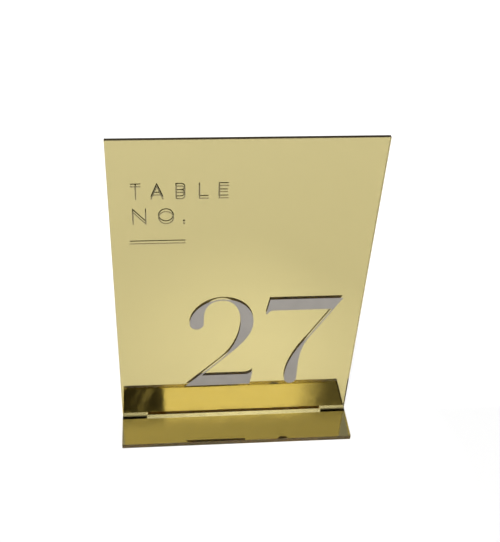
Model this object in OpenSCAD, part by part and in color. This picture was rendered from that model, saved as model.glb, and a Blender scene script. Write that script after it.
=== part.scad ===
// Table number holder: an upright mirror acrylic sign whose tab drops into a slot in a
// mirror acrylic base. The number and its heading are printed on the sign's front face.
// +Z is up, the sign faces -Y, and the origin is the centre of the underside of the base.
// Millimetres.

/* [Sign] */
// Width of the sign
sign_w = 127; // [120:1:150]
// Height of the sign above the top of the base
sign_h = 177.8; // [170:0.1:220]
// Thickness of the laminated sign sheet
sign_t = 2; // [1.5:0.1:3]
// Length of the tab that drops into the base
tab_w = 98.6; // [60:0.1:110]

/* [Base] */
// Depth of the base, front to back
base_d = 44; // [36:1:80]
// Thickness of the laminated base sheet
base_t = 3; // [2:0.1:5]
// Clearance before and behind the tab in its slot
slot_gap = 0.1; // [0.05:0.01:0.3]
// Clearance at each end of the tab in its slot
slot_play = 0.6; // [0.1:0.1:2]

/* [Laminate] */
// Thickness of the mirror film
film_t = 0.05; // [0.03:0.01:0.1]
// Thickness of the backing paint
paint_t = 0.1; // [0.05:0.01:0.2]
// Thickness of the print on the front face
print_t = 0.05; // [0.03:0.01:0.1]

/* [Number] */
// Height of the numerals
number_h = 61.4; // [50:0.1:66]
// Height of their feet above the top of the base
number_z = 22.7; // [18:0.1:30]
// How far the numerals are moved to the right
number_x = 0.3; // [-20:0.1:8]

/* [Lettering] */
// Height of the capitals
cap_h = 6.8; // [6:0.1:8]
// Left edge of the lettering
text_x = -53; // [-56:0.1:-50]
// Width of a printed line
line_w = 0.5; // [0.3:0.05:0.7]

/* [Hidden] */
$fn = 48;
// The film and the print are bonded to the acrylic, so they sink into it by this much
bond = 0.01;
// Gap between the foot of the tab and the table
tab_lift = 0.2;
// Gap between the sign's shoulders and the base, so that no two faces coincide
seat_gap = 0.02;
sign_front = -sign_t / 2;
sign_acrylic_t = sign_t - film_t - paint_t;
base_acrylic_t = base_t - film_t - paint_t;
// The numerals are drawn this high, and scaled to number_h
drawn_h = 61.2;
// Steps along each curved stretch of a numeral
curve_steps = 12;
// Baselines of the two lines of lettering, and the rule under them, above the base
line_1_z = 147.1;
line_2_z = 133.2;
rule_z = 121.7;
rule_l = 26.1;
rule_indent = -1.4;

// ---- curves ----

// One stretch of a cubic curve, without its last point
function curve(a, b, c, d) = [
    for (i = [0 : curve_steps - 1]) let (t = i / curve_steps, s = 1 - t)
        s * s * s * a + 3 * s * s * t * b + 3 * s * t * t * c + t * t * t * d
];

// ---- numerals, standing on y = 0 ----

// From the ball round the crown and the bowl, down the hairline to the foot and back
module two() {
    polygon(concat(
        curve([-22.4, 42.1], [-24.6, 42.1], [-26.1, 43.9], [-26.1, 46.4]),
        curve([-26.1, 46.4], [-26.1, 53.4], [-18.6, 62.2], [-9.5, 62.2]),
        curve([-9.5, 62.2], [0.4, 62.2], [7.1, 55], [7.1, 46]),
        curve([7.1, 46], [7.1, 38.5], [3, 32.6], [-1.9, 26.8]),
        [[-1.9, 26.8], [-19.5, 7.7]],
        curve([3.6, 7.7], [6.2, 7.7], [7.4, 8.8], [8.5, 10.4]),
        [[8.5, 10.4], [7.1, 0], [-27.8, 0], [-27.8, 0.4]],
        curve([-10.1, 18.8], [-4.2, 25], [0.2, 34.6], [0.4, 45.4]),
        curve([0.4, 45.4], [0.4, 55.2], [-3.4, 61.5], [-9.5, 61.5]),
        curve([-9.5, 61.5], [-15.4, 61.5], [-18.8, 57.4], [-18.8, 50]),
        [[-18.8, 50]],
        curve([-18.8, 46], [-18.8, 43.7], [-20.2, 42.1], [-22.4, 42.1])
    ));
}

// From the bar down the hairline and round the stem, and back up to the bar's serif
module seven() {
    polygon(concat(
        [[15, 61.2], [52.7, 61.2]],
        curve([37.5, 34.4], [34.6, 29.4], [33, 22.5], [33, 12]),
        [[33, 12]],
        curve([33, 4], [33, 1.2], [31.8, -0.4], [29.6, -0.4]),
        curve([29.6, -0.4], [27.4, -0.4], [26.1, 1.6], [26.1, 5.4]),
        curve([26.1, 5.4], [26.1, 15], [31, 26], [36.7, 34.4]),
        [[36.7, 34.4], [47.7, 53.8]],
        curve([18, 53.8], [15.4, 53.7], [14.6, 53], [14.1, 51.4]),
        [[14.1, 51.4], [13.3, 51.4]]
    ));
}

// ---- lettering, as lines of one width ----

// A line with square ends from a to b
module line(a, b) {
    run = b - a;
    translate(a) rotate(atan2(run.y, run.x))
        translate([-line_w / 2, -line_w / 2]) square([norm(run) + line_w, line_w]);
}

// A ring round a circle of radius r
module ring(r) {
    difference() {
        circle(r = r + line_w / 2);
        circle(r = r - line_w / 2);
    }
}

// The right half of a ring
module half_ring(r) {
    reach = 2 * r;
    intersection() {
        ring(r);
        translate([0, -reach]) square([reach, 2 * reach]);
    }
}

module letter_t(w = 4.3) {
    line([0, cap_h], [w, cap_h]);
    line([w / 2, 0], [w / 2, cap_h]);
}

module letter_a(w = 5.4, bar = 0.32) {
    line([0, 0], [w / 2, cap_h]);
    line([w, 0], [w / 2, cap_h]);
    line([w * bar / 2, cap_h * bar], [w * (1 - bar / 2), cap_h * bar]);
}

module letter_b(w = 4) {
    r = cap_h / 4;
    line([0, 0], [0, cap_h]);
    for (z = [0, cap_h / 2, cap_h]) line([0, z], [w - r, z]);
    for (z = [r, 3 * r]) translate([w - r, z]) half_ring(r);
}

module letter_l(w = 4) {
    line([0, 0], [0, cap_h]);
    line([0, 0], [w, 0]);
}

module letter_e(w = 4.1, middle_w = 3.7) {
    line([0, 0], [0, cap_h]);
    for (z = [0, cap_h]) line([0, z], [w, z]);
    line([0, cap_h / 2], [middle_w, cap_h / 2]);
}

module letter_n(w = 5.9) {
    for (x = [0, w]) line([x, 0], [x, cap_h]);
    line([0, cap_h], [w, 0]);
}

module letter_o() {
    translate([0, cap_h / 2]) ring(cap_h / 2);
}

// Plain capitals: a heading over two lines, a full stop and a rule
module heading() {
    translate([0, line_1_z]) {
        letter_t();
        translate([9.2, 0]) letter_a();
        translate([20.7, 0]) letter_b();
        translate([31.4, 0]) letter_l();
        translate([40.5, 0]) letter_e();
    }
    translate([0, line_2_z]) {
        translate([0.5, 0]) letter_n();
        translate([15.9, 0]) letter_o();
        translate([24.3, 0]) circle(d = 2 * line_w);
    }
    translate([rule_indent, rule_z]) line([0, 0], [rule_l, 0]);
}

// ---- sheets ----

// Stands an outline drawn in X and Z up, from y0 to y0 + t
module upright(y0, t) {
    translate([0, y0 + t, 0]) rotate([90, 0, 0]) linear_extrude(t) children();
}

// The sign seen from the front, with its tab
module sign_outline() {
    translate([-sign_w / 2, base_t + seat_gap]) square([sign_w, sign_h - seat_gap]);
    translate([-tab_w / 2, tab_lift]) square([tab_w, base_t]);
}

// A print on the sign's front face
module print() {
    upright(sign_front - print_t, print_t + bond) children();
}

// One layer of the base, with the slot, from z0 to z0 + t
module base_layer(z0, t) {
    slot_w = tab_w + 2 * slot_play;
    slot_d = sign_t + 2 * slot_gap;
    cut = 1;
    difference() {
        translate([-sign_w / 2, -base_d / 2, z0]) cube([sign_w, base_d, t]);
        translate([-slot_w / 2, -slot_d / 2, z0 - cut]) cube([slot_w, slot_d, t + 2 * cut]);
    }
}

// ---- sub-parts ----

module sign_acrylic() {
    color([0.86, 0.76, 0.45, 0.6]) upright(sign_front, sign_acrylic_t) sign_outline();
}

module sign_mirror_film() {
    color([0.9, 0.85, 0.6])
        upright(sign_front + sign_acrylic_t - bond, film_t + bond) sign_outline();
}

module sign_back_paint() {
    color([0.45, 0.45, 0.46])
        upright(sign_front + sign_acrylic_t + film_t, paint_t) sign_outline();
}

module printed_number() {
    color([0.6, 0.6, 0.59]) print() translate([number_x, base_t + number_z])
        scale(number_h / drawn_h) {
            two();
            seven();
        }
}

module printed_lettering() {
    color([0.6, 0.6, 0.59]) print() translate([text_x, base_t]) heading();
}

module base_acrylic() {
    color([0.8, 0.68, 0.35, 0.6]) base_layer(paint_t + film_t, base_acrylic_t);
}

module base_mirror_film() {
    color([0.9, 0.85, 0.6]) base_layer(paint_t, film_t + bond);
}

module base_back_paint() {
    color([0.45, 0.45, 0.46]) base_layer(0, paint_t);
}

sign_acrylic();
sign_mirror_film();
sign_back_paint();
printed_number();
printed_lettering();
base_acrylic();
base_mirror_film();
base_back_paint();
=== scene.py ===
"""Looks for the table number holder: amber mirror acrylic with a grey print, on a white table."""

import math

import bpy
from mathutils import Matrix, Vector


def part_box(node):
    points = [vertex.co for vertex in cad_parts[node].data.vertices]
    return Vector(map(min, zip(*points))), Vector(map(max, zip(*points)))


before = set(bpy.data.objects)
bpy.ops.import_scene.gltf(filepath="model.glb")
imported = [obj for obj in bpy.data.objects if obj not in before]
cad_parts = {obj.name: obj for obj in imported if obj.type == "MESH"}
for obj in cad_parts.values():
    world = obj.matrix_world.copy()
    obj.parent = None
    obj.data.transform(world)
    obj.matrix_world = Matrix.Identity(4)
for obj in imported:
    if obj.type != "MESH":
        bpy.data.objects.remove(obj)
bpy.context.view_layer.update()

MM = 0.001
# Ramps are written as (start, end) or as (start, end, value at start, value at end)

# ---- values: the camera ----

SENSOR = 36
LENS = 55.48
SHIFT_X = 0.046
SHIFT_Y = 0.0112
CLIP_START = 10 * MM
CAMERA_PLACE = Vector((-40.9, -320.2, 365.4)) * MM
CAMERA_TURN = (50.683, -1.736, -4.39)  # degrees about X, Y and Z
# Light passes many times between the faces of the acrylic and its film
BOUNCES = 32

# ---- values: the materials ----

ACRYLIC_IOR = 1.49
CLEAR = (1, 1, 1, 1)
# The dye's Volume Absorption colour, and its density times the thickness of a sheet
DYE_COLOUR = (0.988, 0.855, 0.15, 1)
DYE_PER_SHEET = 0.5
# Only a faint gloss on the acrylic's own surface: most of what it reflects comes from the film
SURFACE_GLOSS = (0.1, 0.1, 0.1, 1)
# The roughness of each kind of face where it is roughest, and its least as a share of that
FACE_ROUGHNESS = 0.012
SLOT_ROUGHNESS = 0.28
RIM_ROUGHNESS = 0.1
LEAST_ROUGHNESS = 0.6
HAZE_LUMPS = 600  # to the metre
HAZE_SPAN = (0.3, 0.8)
# The outer edges are faintly frosted, so that they show the amber of the sheet from all sides.
# Their colours are also painted light and shade: the sign's top is painted dark brown as shade,
# and its sides and the base's rim a paler amber as light.
SIGN_TOP_PAINTED_SHADE_COLOUR = (0.25, 0.16, 0.05, 1)
SIGN_TOP_CLARITY = 0.92
SIGN_SIDE_PAINTED_LIGHT_COLOUR = (0.5, 0.33, 0.1, 1)
SIGN_SIDE_CLARITY = 0.45
BASE_RIM_PAINTED_LIGHT_COLOUR = (0.97, 0.76, 0.24, 1)
BASE_RIM_CLARITY = 0.95
FILM_COLOUR = (0.56, 0.56, 0.56, 1)
FILM_ROUGHNESS = 0.02
# Each ink's colour on its face, and on its underside, which shows in the film behind it. The
# lettering's underside is painted near black, as painted shade for the dark copy of each line in
# the film.
NUMBER_INK = (0.203, 0.188, 0.168)
NUMBER_UNDERSIDE = (0.8, 0.78, 0.75)
LETTERING_INK = (0.1, 0.085, 0.045)
LETTERING_UNDERSIDE_PAINTED_SHADE = (0.03, 0.025, 0.015)
INK_ROUGHNESS = 0.55
PAINT_COLOUR = (0.3, 0.3, 0.305)
PAINT_ROUGHNESS = 0.6
# Grains: lumps to the metre, and their height
FILM_WAVES = (90, 0.01 * MM)
INK_GRAIN = (9000, 0.004 * MM)
PAINT_GRAIN = (2500, 0.03 * MM)
# Blotches: lumps to the metre, and how far the brightness wanders over the noise's middle
INK_BLOTCHES = (120, 0.04)
PAINT_BLOTCHES = (35, 0.08)
BLOTCH_SPAN = (0.3, 0.7)

# ---- values: the floor ----

FLOOR_SIDE = 6.0
FLOOR_ROUGHNESS = 0.9
# The floor has light painted into its grey: it is palest in a painted pool of light before the
# object, which is dimmer at right, and behind the object's front, where painted light hides the
# object's shadow.
FLOOR_GREY = 0.68
PAINTED_POOL_CENTRE = Vector((25, -40, 0)) * MM
PAINTED_POOL_AWAY = (0, 150 * MM, 0.9, FLOOR_GREY)
PAINTED_POOL_TO_RIGHT = (20 * MM, 80 * MM, 1.0, 0.93)
PAINTED_LIGHT_BEHIND_FRONT = (-3 * MM, 3 * MM, FLOOR_GREY, 0.95)

# ---- values: the light ----

KEY_PLACE = Vector((-0.28, -1.3, 2.1))
KEY_SIDE = 1.2
KEY_POWER = 64
# The room: how bright it is behind from the horizon up, in front, and from left to right
ROOM_UP = (0.15, 0.45, 0.95, 0.45)
ROOM_TO_FRONT = (-0.3, 0.3)
ROOM_IN_FRONT = 1.22
ROOM_TO_RIGHT = (-0.065, 0.245, 1.07, 0.88)
# The softbox: its brightness, then ramps up and to the right, for a step of 1 forward
SOFTBOX = 2.7
BOX_FOOT = (0.5, 0.7)
BOX_EDGE = (1.128, 1.136, 1.0, 0.42)
BOX_HEAD = (1.136, 1.175, 1.0, 0.0)
BOX_ENDS = (0.5, 0.9, 1.0, 0.0)
BOX_TO_RIGHT = (0.22, 0.298, 1.0, 0.12)
BOX_FROM_LEFT = (-0.001, 0.009, 0.0, 0.9)
# In the dark left of it, a glimmer, and slanting streaks with each one's place, half width, and
# brightness at its foot and head
BOX_GLIMMER = (-0.01, 0.004, 0.03, 0.1)
STREAKS = ((0.324, 0.004, 0.17, 0.0), (0.342, 0.009, 0.21, 0.1))
STREAK_SLANT = 0.34
STREAK_SPAN = (1.07, 1.125)
# Directions that point less far forward than this count as this far
LEAST_FORWARD = 0.001


class Nodes:
    """A node tree, with short ways to add and join nodes."""

    def __init__(self, tree):
        self.tree = tree
        tree.nodes.clear()

    def add(self, kind, **values):
        node = self.tree.nodes.new(kind)
        for name, value in values.items():
            setattr(node, name, value)
        return node

    def fill(self, socket, value):
        """Puts a number or colour on a socket, or joins an output to it."""
        if isinstance(value, bpy.types.NodeSocket):
            self.tree.links.new(value, socket)
        else:
            socket.default_value = value

    def maths(self, operation, *values):
        node = self.add("ShaderNodeMath", operation=operation)
        for socket, value in zip(node.inputs, values):
            self.fill(socket, value)
        return node.outputs[0]

    def times(self, *values):
        """The product of these values."""
        product = values[0]
        for value in values[1:]:
            product = self.maths("MULTIPLY", product, value)
        return product

    def ramp(self, value, start, end, low=0.0, high=1.0):
        """A smooth step from low at start to high at end."""
        node = self.add("ShaderNodeMapRange", interpolation_type="SMOOTHSTEP")
        sockets = ("Value", "From Min", "From Max", "To Min", "To Max")
        for name, setting in zip(sockets, (value, start, end, low, high)):
            self.fill(node.inputs[name], setting)
        return node.outputs["Result"]

    def place(self):
        return self.add("ShaderNodeTexCoord").outputs["Object"]

    def noise(self, lumps):
        """Noise with that many lumps to the metre."""
        node = self.add("ShaderNodeTexNoise")
        self.fill(node.inputs["Vector"], self.place())
        self.fill(node.inputs["Scale"], lumps)
        return node.outputs["Fac"]

    def grain(self, lumps, height):
        """A normal for a surface with that many lumps to the metre, of that height."""
        node = self.add("ShaderNodeBump")
        self.fill(node.inputs["Height"], self.noise(lumps))
        self.fill(node.inputs["Distance"], height)
        return node.outputs["Normal"]

    def blotchy(self, colour, lumps, spread):
        """A colour whose brightness wanders by spread, with that many lumps to the metre."""
        node = self.add("ShaderNodeVectorMath", operation="SCALE")
        brightness = self.ramp(self.noise(lumps), *BLOTCH_SPAN, 1 - spread, 1 + spread)
        self.fill(node.inputs[0], colour)
        self.fill(node.inputs["Scale"], brightness)
        return node.outputs[0]

    def principled(self, **values):
        """A Principled shader with its sockets set by name, joined to the output it returns."""
        shader = self.add("ShaderNodeBsdfPrincipled")
        out = self.add("ShaderNodeOutputMaterial")
        for name, value in values.items():
            self.fill(shader.inputs[name.replace("_", " ")], value)
        self.fill(out.inputs["Surface"], shader.outputs["BSDF"])
        return out


def new_material(name):
    material = bpy.data.materials.new(name)
    material.use_nodes = True
    return material, Nodes(material.node_tree)


def acrylic(name, thickness, roughest=FACE_ROUGHNESS, colour=CLEAR, clarity=1.0):
    """Amber acrylic, dyed all through. Its faces are polished, and its cut edges less so. A colour
    other than clear paints light or shade into a face.
    """
    material, nodes = new_material(name)
    haze = nodes.noise(HAZE_LUMPS)
    out = nodes.principled(
        Base_Color=colour,
        Roughness=nodes.ramp(haze, *HAZE_SPAN, roughest * LEAST_ROUGHNESS, roughest),
        IOR=ACRYLIC_IOR,
        Specular_Tint=SURFACE_GLOSS,
        Transmission_Weight=clarity,
    )
    dye = nodes.add("ShaderNodeVolumeAbsorption")
    nodes.fill(dye.inputs["Color"], DYE_COLOUR)
    nodes.fill(dye.inputs["Density"], DYE_PER_SHEET / thickness)
    nodes.fill(out.inputs["Volume"], dye.outputs["Volume"])
    return material


def mirror_film():
    """Metal film, with the faint waves of the sheet it is laid on."""
    material, nodes = new_material("mirror_film")
    nodes.principled(
        Base_Color=FILM_COLOUR,
        Metallic=1.0,
        Roughness=FILM_ROUGHNESS,
        Normal=nodes.grain(*FILM_WAVES),
    )
    return material


def printing_ink(name, colour):
    """Satin ink, slightly uneven, with the fine grain of a screen print."""
    material, nodes = new_material(name)
    nodes.principled(
        Base_Color=nodes.blotchy(colour, *INK_BLOTCHES),
        Roughness=INK_ROUGHNESS,
        Normal=nodes.grain(*INK_GRAIN),
    )
    return material


def back_paint():
    """Matt protective paint, rolled on."""
    material, nodes = new_material("back_paint")
    nodes.principled(
        Base_Color=nodes.blotchy(PAINT_COLOUR, *PAINT_BLOTCHES),
        Roughness=PAINT_ROUGHNESS,
        Normal=nodes.grain(*PAINT_GRAIN),
    )
    return material


def floor_material():
    """White, with painted light: palest behind the object's front, where it hides the object's
    shadow, and in a painted pool of light before it.
    """
    material, nodes = new_material("floor_white")
    place = nodes.place()
    away = nodes.add("ShaderNodeVectorMath", operation="DISTANCE")
    nodes.fill(away.inputs[0], place)
    nodes.fill(away.inputs[1], PAINTED_POOL_CENTRE)
    parts = nodes.add("ShaderNodeSeparateXYZ")
    nodes.fill(parts.inputs[0], place)
    # A painted pool of light, dimmer at right.
    pool = nodes.times(
        nodes.ramp(away.outputs["Value"], *PAINTED_POOL_AWAY),
        nodes.ramp(parts.outputs["X"], *PAINTED_POOL_TO_RIGHT),
    )
    # Painted light behind the object's front hides its shadow there.
    shade = nodes.maths("MAXIMUM", pool, nodes.ramp(parts.outputs["Y"], *PAINTED_LIGHT_BEHIND_FRONT))
    colour = nodes.add("ShaderNodeCombineColor")
    for channel in colour.inputs:
        nodes.fill(channel, shade)
    nodes.principled(
        Base_Color=colour.outputs["Color"],
        Roughness=FLOOR_ROUGHNESS,
        Specular_IOR_Level=0.0,
    )
    return material


def dress(node, material):
    """Gives a CAD node one material."""
    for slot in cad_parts[node].material_slots:
        slot.material = material


def dress_faces(node, materials, choose):
    """Gives each face of a CAD node the one of these materials that choose picks for it."""
    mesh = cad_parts[node].data
    mesh.materials.clear()
    for material in materials:
        mesh.materials.append(material)
    for face in mesh.polygons:
        face.material_index = choose(face)


# ---- the object ----

sign_low, sign_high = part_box("sign_acrylic")
base_low, base_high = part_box("base_acrylic")
sign_sheet = sign_high.y - sign_low.y
base_sheet = base_high.z - base_low.z


def sign_face(face):
    """0 for the sign's front and back, 1 for tab and shoulders, 2 for its top, 3 for its sides."""
    if abs(face.normal.y) > 0.5:
        return 0
    if face.center.z < base_high.z + MM:
        return 1
    return 2 if face.normal.z > 0.5 else 3


def base_face(face):
    """0 for the base's top and bottom, 1 for the walls of its slot, 2 for its outer edges."""
    if abs(face.normal.z) > 0.5:
        return 0
    inside = abs(face.center.x) < base_high.x - MM and abs(face.center.y) < base_high.y - MM
    return 1 if inside else 2


def ink_face(face):
    """0 for a print's front and edges, 1 for its underside."""
    return 1 if face.normal.y > 0.5 else 0


dress_faces(
    "sign_acrylic",
    [
        acrylic("sign_acrylic", sign_sheet),
        acrylic("sign_tab_edge", sign_sheet, SLOT_ROUGHNESS),
        # The top's colour is painted shade, and the sides' colour is painted light.
        acrylic("sign_top", sign_sheet, RIM_ROUGHNESS, SIGN_TOP_PAINTED_SHADE_COLOUR, SIGN_TOP_CLARITY),
        acrylic("sign_side", sign_sheet, RIM_ROUGHNESS, SIGN_SIDE_PAINTED_LIGHT_COLOUR, SIGN_SIDE_CLARITY),
    ],
    sign_face,
)
dress_faces(
    "base_acrylic",
    [
        acrylic("base_acrylic", base_sheet),
        acrylic("base_slot_wall", base_sheet, SLOT_ROUGHNESS),
        # The rim's colour is partly painted light.
        acrylic("base_rim", base_sheet, RIM_ROUGHNESS, BASE_RIM_PAINTED_LIGHT_COLOUR, BASE_RIM_CLARITY),
    ],
    base_face,
)
film = mirror_film()
dress("sign_mirror_film", film)
dress("base_mirror_film", film)
paint = back_paint()
dress("sign_back_paint", paint)
dress("base_back_paint", paint)
INKS = {
    "printed_number": (NUMBER_INK, NUMBER_UNDERSIDE),
    # The lettering's underside colour is painted shade.
    "printed_lettering": (LETTERING_INK, LETTERING_UNDERSIDE_PAINTED_SHADE),
}
for node, (ink, underside) in INKS.items():
    inks = [printing_ink(node, ink), printing_ink(node + "_underside", underside)]
    dress_faces(node, inks, ink_face)

# ---- the floor ----

bpy.ops.mesh.primitive_plane_add(size=FLOOR_SIDE, location=(0, 0, 0))
floor = bpy.context.object
floor.name = "floor"
floor.data.materials.append(floor_material())

# ---- the light ----


def key_light():
    """A soft square light that faces the object, and doesn't show in the mirrors."""
    light = bpy.data.lights.new("key", "AREA")
    light.size = KEY_SIDE
    light.energy = KEY_POWER
    lamp = bpy.data.objects.new("key", light)
    lamp.location = KEY_PLACE
    lamp.rotation_euler = (-KEY_PLACE).to_track_quat("-Z", "Y").to_euler()
    lamp.visible_glossy = False
    lamp.visible_transmission = False
    bpy.context.scene.collection.objects.link(lamp)


def room_light(nodes, x, y, z):
    """How bright a pale room is in each direction: greyer behind, and brightest in front."""
    behind = nodes.ramp(z, *ROOM_UP)
    around = nodes.ramp(nodes.times(y, -1.0), *ROOM_TO_FRONT, behind, ROOM_IN_FRONT)
    return nodes.times(around, nodes.ramp(x, *ROOM_TO_RIGHT))


def softbox_light(nodes, rise, aside):
    """How bright the softbox and the dark at its two ends are."""
    left = nodes.ramp(aside, *BOX_FROM_LEFT)
    left = nodes.maths("ADD", left, nodes.ramp(aside, *BOX_GLIMMER))
    slant = nodes.maths("MULTIPLY_ADD", rise, STREAK_SLANT, aside)
    for middle, width, foot, head in STREAKS:
        off = nodes.maths("ABSOLUTE", nodes.maths("SUBTRACT", slant, middle))
        shine = nodes.ramp(rise, *STREAK_SPAN, foot, head)
        streak = nodes.times(nodes.ramp(off, 0.0, width, 1.0, 0.0), shine)
        left = nodes.maths("ADD", left, streak)
    return nodes.times(nodes.ramp(aside, *BOX_TO_RIGHT), left, SOFTBOX)


def studio_world():
    """A pale room with a softbox in front, whose top edge shows in both mirrors."""
    world = bpy.data.worlds.new("studio")
    bpy.context.scene.world = world
    world.use_nodes = True
    nodes = Nodes(world.node_tree)
    parts = nodes.add("ShaderNodeSeparateXYZ")
    nodes.fill(parts.inputs[0], nodes.add("ShaderNodeTexCoord").outputs["Generated"])
    x, y, z = parts.outputs
    # How far each direction goes up and to the right, for a step of 1 forward
    forward = nodes.maths("MAXIMUM", nodes.times(y, -1.0), LEAST_FORWARD)
    rise = nodes.maths("DIVIDE", z, forward)
    aside = nodes.maths("DIVIDE", x, forward)
    softbox = nodes.times(
        nodes.ramp(rise, *BOX_FOOT),
        nodes.ramp(rise, *BOX_EDGE),
        nodes.ramp(rise, *BOX_HEAD),
        nodes.ramp(nodes.maths("ABSOLUTE", aside), *BOX_ENDS),
    )
    mixed = nodes.add("ShaderNodeMix", data_type="FLOAT")
    nodes.fill(mixed.inputs["Factor"], softbox)
    nodes.fill(mixed.inputs["A"], room_light(nodes, x, y, z))
    nodes.fill(mixed.inputs["B"], softbox_light(nodes, rise, aside))
    back = nodes.add("ShaderNodeBackground")
    nodes.fill(back.inputs["Strength"], mixed.outputs["Result"])
    out = nodes.add("ShaderNodeOutputWorld")
    nodes.fill(out.inputs["Surface"], back.outputs[0])


studio_world()
key_light()

# ---- the camera ----

camera = bpy.data.cameras.new("camera")
camera.sensor_width = SENSOR
camera.lens = LENS
camera.shift_x = SHIFT_X
camera.shift_y = SHIFT_Y
camera.clip_start = CLIP_START
viewer = bpy.data.objects.new("camera", camera)
viewer.location = CAMERA_PLACE
viewer.rotation_euler = [math.radians(turn) for turn in CAMERA_TURN]
bpy.context.scene.collection.objects.link(viewer)
bpy.context.scene.camera = viewer
bpy.context.scene.view_settings.view_transform = "Standard"
bpy.context.scene.cycles.max_bounces = BOUNCES
bpy.context.scene.cycles.glossy_bounces = BOUNCES
bpy.context.scene.cycles.transmission_bounces = BOUNCES
